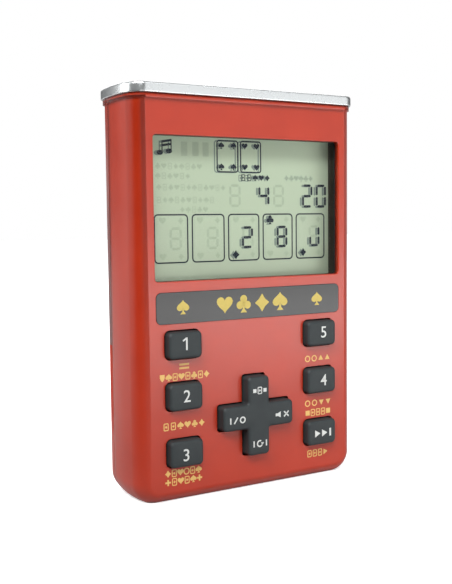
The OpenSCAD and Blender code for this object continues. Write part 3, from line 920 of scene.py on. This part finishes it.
def shifted(shape, move):
    return [[(x + move.x, z + move.y) for x, z in outline] for outline in shape]


for name, marks, height, ink in (
    ("lcd_segments", display_marks() + big_cards(), 0.03, lcd_ink),
    ("lcd_segment_shadows", [shifted(m, shadow_shift) for m in display_marks()], 0.016, lcd_shade),
    ("lcd_half_lit_row", half_lit_marks(), 0.012, lcd_half),
    ("lcd_unlit_segments", ghost_marks(), 0.008, lcd_faint),
):
    sheet = sheet_of(name, marks, film_front + 0.01 * MM, (height + 0.01) * MM)
    join_body(sheet, "case", "lcd_film", ink)

# ---------------------------------------------------------------------------------------------
# Name strip. Gloss film printed charcoal, stuck in a shallow seat under the display, with a gold
# row of the four suits and a spade near each end.
# ---------------------------------------------------------------------------------------------
def gloss_charcoal_film():
    """Gloss printed film: nearly black, with a clear reflection and faint dust in the print."""
    material, tree = empty_material("gloss_charcoal_film")
    place = add(tree, "ShaderNodeTexCoord")
    dust = add(
        tree,
        "ShaderNodeTexNoise",
        {"Scale": 1 / (0.5 * MM), "Detail": 4},
        {"Vector": place.outputs["Object"]},
    )
    tone = add(tree, "ShaderNodeValToRGB", links={"Fac": dust.outputs["Fac"]})
    tone.color_ramp.elements[0].color = linear("#121211")
    tone.color_ramp.elements[1].color = linear("#1d1d1c")
    skin = add(
        tree,
        "ShaderNodeBsdfPrincipled",
        {"Roughness": 0.24, "IOR": 1.44},
        {"Base Color": tone.outputs["Color"]},
    )
    return finish_material(material, tree, skin.outputs[0])


edge_solid("name_plate", "name_strip", "case", "strip_film", gloss_charcoal_film(), 0.06)
gold_ink = plain_material("gold_printing_ink", "#ad9a4a", 0.42, 0.5, mottle=0.12, Metallic=0.2)
strip_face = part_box("name_plate")[0].y
strip_mid_z = 46.3
ink_thick = 0.02 * MM
strip_marks = [moved(spade(), x, strip_mid_z + 0.05, 3.35) for x in (-19.4, 19.4)]
for i, suit in enumerate((heart, club, diamond, spade)):
    strip_marks.append(moved(suit(), -8.0 + 5.35 * i, strip_mid_z, 4.5))
strip_print = sheet_of("strip_print", strip_marks, strip_face, ink_thick)
join_body(strip_print, "case", "strip_film", gold_ink)

# ---------------------------------------------------------------------------------------------
# Six small keys. Soft-touch charcoal caps with rounded tops, each with a flange that keeps it in
# the case. Five carry a white figure, and the start key carries a pair of play signs.
# ---------------------------------------------------------------------------------------------
def soft_touch_charcoal():
    """Soft-touch rubber paint: dark blue-grey and matt, paler where edges catch the light."""
    material, tree = empty_material("soft_touch_charcoal")
    place = add(tree, "ShaderNodeTexCoord")
    grain = add(
        tree,
        "ShaderNodeTexNoise",
        {"Scale": 1 / (0.18 * MM), "Detail": 3},
        {"Vector": place.outputs["Object"]},
    )
    cloud = add(
        tree,
        "ShaderNodeTexNoise",
        {"Scale": 1 / (3 * MM), "Detail": 3},
        {"Vector": place.outputs["Object"]},
    )
    tone = add(tree, "ShaderNodeValToRGB", links={"Fac": cloud.outputs["Fac"]})
    tone.color_ramp.elements[0].color = linear("#23282a")
    tone.color_ramp.elements[1].color = linear("#2c3233")
    bump = add(
        tree,
        "ShaderNodeBump",
        {"Strength": 0.35, "Distance": 0.03 * MM},
        {"Height": grain.outputs["Fac"]},
    )
    skin = add(
        tree,
        "ShaderNodeBsdfPrincipled",
        {"Roughness": 0.55, "Specular IOR Level": 0.35},
        {"Base Color": tone.outputs["Color"], "Normal": bump.outputs["Normal"]},
    )
    return finish_material(material, tree, skin.outputs[0])


key_skin = soft_touch_charcoal()
white_ink = plain_material("white_printing_ink", "#c0c2bf", 0.5, 0.5)
key_wide, key_high, key_round = 8.8, 6.4, 1.1
key_edge, key_crown, key_sunk = 0.75, 0.07, 0.04
key_flange_out, key_flange_depth, key_back = 0.9, 1.95, 2.7
key_proud = 2.1
key_dish, key_round_least = 1.5, 0.35
# The height of a printed figure, a font's capital height per unit of size, and how far each
# figure is printed from the middle of its key
figure_high, font_capital = 2.95, 0.72
print_offset = {
    "key_1": (-0.2, 0.4),
    "key_2": (0, 0.3),
    "key_3": (-0.4, -0.2),
    "key_4": (0.4, 0.2),
    "key_5": (0.4, 0.4),
}


def front_ring(outline, depth, x=0.0, z=0.0):
    """Outline points in mm as a ring at a depth in mm behind the front face."""
    return [((x + u) * MM, case_front + depth * MM, (z + v) * MM) for u, v in outline]


def box_outline(width, height, radius, steps=5):
    w, h = width / 2, height / 2
    return (
        arc(radius - w, radius - h, radius, 180, 270, steps)
        + arc(w - radius, radius - h, radius, 270, 360, steps)
        + arc(w - radius, h - radius, radius, 0, 90, steps)
        + arc(radius - w, h - radius, radius, 90, 180, steps)
    )


def key_ring(x, z, inset, depth):
    r = max(key_round_least, key_round - 0.5 * inset)
    return front_ring(box_outline(key_wide - 2 * inset, key_high - 2 * inset, r), depth, x, z)


def key_cap(name, x, z):
    """A key: its flange, straight sides, a rounded edge and a slightly crowned top."""
    rings = [
        key_ring(x, z, -key_flange_out, key_back),
        key_ring(x, z, -key_flange_out, key_flange_depth),
        key_ring(x, z, 0, key_flange_depth),
    ]
    top = key_sunk - key_proud
    rings += [key_ring(x, z, i, top + key_crown + d) for i, d in quarter(key_edge, 6)]
    for t in (0.3, 0.65, 1.0):
        rings.append(key_ring(x, z, key_edge + key_dish * t, top + key_crown * (1 - t) ** 2))
    return lofted(name, rings)


def figure(name, text, x, z, height, depth):
    """A printed figure: a font's outline made into a thin solid on a key."""
    face = bpy.data.curves.new(name, "FONT")
    face.body = text
    face.align_x = "CENTER"
    face.size = height / font_capital * MM
    face.extrude = 0.012 * MM
    face.offset = 0.014 * MM
    face.resolution_u = 6
    holder = bpy.data.objects.new(name + "_outline", face)
    bpy.context.scene.collection.objects.link(holder)
    bpy.context.view_layer.update()
    ready = holder.evaluated_get(bpy.context.evaluated_depsgraph_get())
    mesh = bpy.data.meshes.new_from_object(ready)
    bpy.data.objects.remove(holder)
    upright = Matrix.Rotation(math.pi / 2, 4, "X")
    mesh.transform(Matrix.Translation((x * MM, depth, (z - height / 2) * MM)) @ upright)
    mesh.materials.clear()
    return bpy.data.objects.new(name, mesh)


key_top = case_front + (key_sunk - key_proud) * MM
print_lift = 0.015 * MM
key_print_at = key_top + print_lift
for node in ("key_1", "key_2", "key_3", "key_4", "key_5", "key_start"):
    low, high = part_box(node)
    key_x, key_z = (low.x + high.x) / 2 / MM, (low.z + high.z) / 2 / MM
    join_body(key_cap(node + "_cap", key_x, key_z), node, "key_rubber", key_skin, node)
    if node == "key_start":
        signs = [
            moved(pointer(), key_x - 1.7, key_z - 0.15, 2.2),
            moved(pointer(), key_x + 0.5, key_z - 0.15, 2.2),
            block(0.55, 2.0, key_x + 2.4, key_z - 0.15),
        ]
        mark = sheet_of("key_start_print", signs, key_print_at, 2 * print_lift)
    else:
        dx, dz = print_offset[node]
        # The figure one is a plain stroke with a flag, and the rest are a font's
        x, z = key_x + dx, key_z + dz
        if node == "key_1":
            one = block(0.42, figure_high, 0.3) + line([(-0.7, 0.72), (0.2, 1.3)], 0.38)
            mark = sheet_of("key_1_print", [moved(one, x, z)], key_print_at, 2 * print_lift)
        else:
            depth = key_top - 0.2 * print_lift
            mark = figure(node + "_print", node[-1], x, z, figure_high, depth)
    join_body(mark, node, "key_rubber", white_ink)

# ---------------------------------------------------------------------------------------------
# Cross pad. One soft-touch moulding with rounded arms, rocking on a ball over the key mat. Its
# arms carry white signs: choose, on and off, silence and start again.
# ---------------------------------------------------------------------------------------------
pad_low, pad_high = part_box("pad_key")
pad_z = (pad_low.z + pad_high.z) / 2 / MM
pad_span, pad_height, pad_arm, pad_proud = 20.2, 19.6, 6.1, 2.8
pad_convex, pad_concave = 1.0, 0.6
pad_flange_out, pad_flange_depth, pad_back = 0.9, 1.95, 2.65
# The pad's top rises to its middle: insets from the rounded edge, and drops
pad_dish = ((0.8, 0.01), (1.3, 0))


def cross_outline(inset, steps=5):
    """The pad's outline: convex corners shrink as it is drawn in, and concave ones grow."""
    b = pad_arm / 2 - inset
    r, q = max(0.3, pad_convex - 0.5 * inset), pad_concave + 0.5 * inset
    points = []
    for turn in range(4):
        a = (pad_height if turn % 2 else pad_span) / 2 - inset
        quarter_points = (
            arc(a - r, -b + r, r, 270, 360, steps)
            + arc(a - r, b - r, r, 0, 90, steps)
            + arc(b + q, b + q, q, 270, 180, steps)
        )
        c, s = (1, 0, -1, 0)[turn], (0, 1, 0, -1)[turn]
        points += [(c * u - s * v, s * u + c * v) for u, v in quarter_points]
    return points


def pad_ring(inset, depth):
    return front_ring(cross_outline(inset), depth, 0, pad_z)


pad_top = key_sunk - pad_proud
pad_rings = [
    pad_ring(-pad_flange_out, pad_back),
    pad_ring(-pad_flange_out, pad_flange_depth),
    pad_ring(0, pad_flange_depth),
]
pad_rings += [pad_ring(i, d + key_crown + pad_top) for i, d in quarter(key_edge, 6)]
pad_rings += [pad_ring(key_edge + i, pad_top + drop) for i, drop in pad_dish]
join_body(lofted("cross_pad", pad_rings), "pad", "key_rubber", key_skin, "pad_key")

pad_signs = [
    # Choose: a card between two small blocks
    block(0.9, 0.9, -1.35, pad_z + 6.3),
    moved(card_sign(), 0.1, pad_z + 6.3, 1.7),
    block(0.9, 0.9, 1.6, pad_z + 6.3),
    # On and off: a bar, a stroke and a ring
    block(0.34, 1.5, -8.3, pad_z - 0.4),
    line([(-7.3, pad_z - 1.15), (-6.3, pad_z + 0.35)], 0.34),
    moved(ring(0.42, 0.2), -4.9, pad_z - 0.4, 1.6),
    # Silence: a loudspeaker and a cross
    block(0.6, 0.7, 5.0, pad_z - 0.35),
    [[(5.2, pad_z - 0.6), (6.2, pad_z - 1.1), (6.2, pad_z + 0.4), (5.2, pad_z - 0.1)]],
    line([(7.2, pad_z - 1.0), (8.6, pad_z + 0.3)], 0.34),
    line([(7.2, pad_z + 0.3), (8.6, pad_z - 1.0)], 0.34),
    # Start again: a broken ring with an arrow head
    line([(u, v + pad_z - 6.9) for u, v in arc(0, 0, 0.72, 60, 350, 14)], 0.32),
    moved(pointer(3), 0.72, pad_z - 7.0, 1.0),
    block(0.34, 1.5, -1.7, pad_z - 6.9),
    block(0.34, 1.5, 1.9, pad_z - 6.9),
]
pad_print_at = case_front + pad_top * MM + print_lift
pad_print = sheet_of("cross_pad_print", pad_signs, pad_print_at, 2 * print_lift)
join_body(pad_print, "pad", "key_rubber", white_ink)
dress("pad_pivot", plain_material("black_acetal", "#141414", 0.35, 1))

# ---------------------------------------------------------------------------------------------
# Legends. Yellow ink pad-printed on the case under each key, as rows of small signs.
# ---------------------------------------------------------------------------------------------
legend_high = 1.75
yellow_ink = plain_material("yellow_printing_ink", "#c9a45c", 0.5, 0.5)


def shield():
    top_and_right = [(-0.36, 0.46), (0.36, 0.46), (0.36, 0.0), (0.2, -0.32)]
    return [top_and_right + [(0, -0.5), (-0.2, -0.32), (-0.36, 0.0)]]


def plus():
    return block(0.84, 0.24) + block(0.24, 0.3, 0, 0.27) + block(0.24, 0.3, 0, -0.27)


def equals():
    return block(1.5, 0.26, 0, 0.25) + block(1.5, 0.26, 0, -0.25)


def square():
    return block(0.74, 0.74)


def up_sign():
    return pointer(1)


def down_sign():
    return pointer(3)


def row(signs, x, z, width, height):
    """Signs spread evenly over a width."""
    step = (width - height) / max(1, len(signs) - 1)
    first = x - (width - height) / 2 if len(signs) > 1 else x
    return [moved(sign(), first + step * i, z, height) for i, sign in enumerate(signs)]


legends = []
for signs, x, z, width in (
    ((equals,), -19.3, 32.45, 3.5),
    ((shield, spade, card_sign, heart, card_sign, club, card_sign, diamond), -19.2, 30.05, 13.6),
    ((card_sign, card_sign, spade, heart, club, diamond), -19.55, 18.4, 11.3),
    ((diamond, card_sign, heart, ring, card_sign, spade), -19.9, 7.15, 10.0),
    ((plus, card_sign, heart, card_sign, spade, plus), -19.8, 5.05, 10.2),
    ((ring, ring, up_sign, up_sign), 19.6, 31.0, 8.0),
    ((ring, ring, down_sign, down_sign), 19.7, 19.4, 8.3),
    ((square, card_sign, card_sign, card_sign, square), 19.7, 16.9, 8.3),
    ((card_sign, card_sign, card_sign, pointer), 19.5, 6.2, 6.8),
):
    legends += row(signs, x, z, width, legend_high)
legend_sheet = sheet_of("case_legends", legends, case_front + 0.005 * MM, ink_thick)
join_body(legend_sheet, "case", "red_abs", yellow_ink)

# ---------------------------------------------------------------------------------------------
# Works behind the keys: silicone mat with carbon pills, the green board and what is soldered on
# it, the ribbon to the display, and the sounder with its leads.
# ---------------------------------------------------------------------------------------------
silicone = plain_material("grey_silicone", "#7d8082", 0.6, 0.8, depth=0.02)
dress("key_mat", silicone)
carbon = plain_material("carbon_ink", "#18181a", 0.7, 0.3)
dress("contact_pills", carbon)
dress("contact_pads", carbon)


def lacquered_board():
    """Green solder lacquer over copper: darker where there is no track beneath."""
    material, tree = empty_material("green_lacquered_board")
    place = add(tree, "ShaderNodeTexCoord")
    tracks = add(
        tree,
        "ShaderNodeTexBrick",
        {
            "offset": 0.5,
            "Color1": linear("#1e4d26"),
            "Color2": linear("#245a2c"),
            "Mortar": linear("#173c1e"),
            "Scale": 1 / (6 * MM),
            "Mortar Size": 0.03,
        },
        {"Vector": place.outputs["Object"]},
    )
    bump = add(
        tree,
        "ShaderNodeBump",
        {"Strength": 0.4, "Distance": 0.03 * MM},
        {"Height": tracks.outputs["Fac"]},
    )
    skin = add(
        tree,
        "ShaderNodeBsdfPrincipled",
        {"Roughness": 0.3},
        {"Base Color": tracks.outputs["Color"], "Normal": bump.outputs["Normal"]},
    )
    return finish_material(material, tree, skin.outputs[0])


dress("main_board", lacquered_board())
black_resin = plain_material("black_cast_resin", "#0e0e0e", 0.25, 2, depth=0.03)
dress("chip_blob", black_resin)
dress("buzzer_holder", black_resin)
fired = plain_material("fired_ceramic", "#b9ab8c", 0.5, 0.4)
dress("resistors", fired)
dress("buzzer_ceramic", fired)
dress("capacitors", plain_material("blue_shrunk_sleeve", "#1d3f66", 0.3, 1))
dress("lcd_flex", plain_material("amber_polyimide", "#8f5f1d", 0.3, 2))
zinc = plain_material("zinc_plated_steel", "#b9bcbf", 0.3, 0.3, depth=0.005, Metallic=1.0)
for node in ("crystal", "board_screws", "case_screws"):
    dress(node, zinc)
dress("buzzer_plate", plain_material("rolled_brass", "#b98b35", 0.28, 0.5, Metallic=1.0))
wire_skin = plain_material("extruded_pvc", "#a32420", 0.4, 0.5)
dress("buzzer_wires", wire_skin)
dress("battery_wires", wire_skin)

# ---------------------------------------------------------------------------------------------
# Battery compartment: nickel-plated contacts and springs, and two cells in shrunk film sleeves.
# ---------------------------------------------------------------------------------------------
nickel = plain_material("nickel_plated_steel", "#c2c4c4", 0.22, 0.4, Metallic=1.0)
for node in ("battery_bridge", "positive_terminal", "negative_terminal"):
    dress(node, nickel)


cell_half, band_start = 22 * MM, 0.74


def cell_sleeve(way):
    """A cell's shrunk film: deep blue, with a bright band at the button end."""
    material, tree = empty_material("cell_film_sleeve")
    place = add(tree, "ShaderNodeTexCoord")
    split = add(tree, "ShaderNodeSeparateXYZ", links={0: place.outputs["Object"]})
    along = add(
        tree,
        "ShaderNodeMapRange",
        {"From Min": -cell_half * way, "From Max": cell_half * way},
        {"Value": split.outputs["X"]},
    )
    band = add(tree, "ShaderNodeValToRGB", links={"Fac": along.outputs["Result"]})
    band.color_ramp.interpolation = "CONSTANT"
    band.color_ramp.elements[0].color = linear("#1b3f6b")
    band.color_ramp.elements[1].position = band_start
    band.color_ramp.elements[1].color = linear("#b3a15a")
    skin = add(
        tree,
        "ShaderNodeBsdfPrincipled",
        {"Roughness": 0.22, "Metallic": 0.3},
        {"Base Color": band.outputs["Color"]},
    )
    return finish_material(material, tree, skin.outputs[0])


dress("upper_cell", cell_sleeve(1))
dress("lower_cell", cell_sleeve(-1))
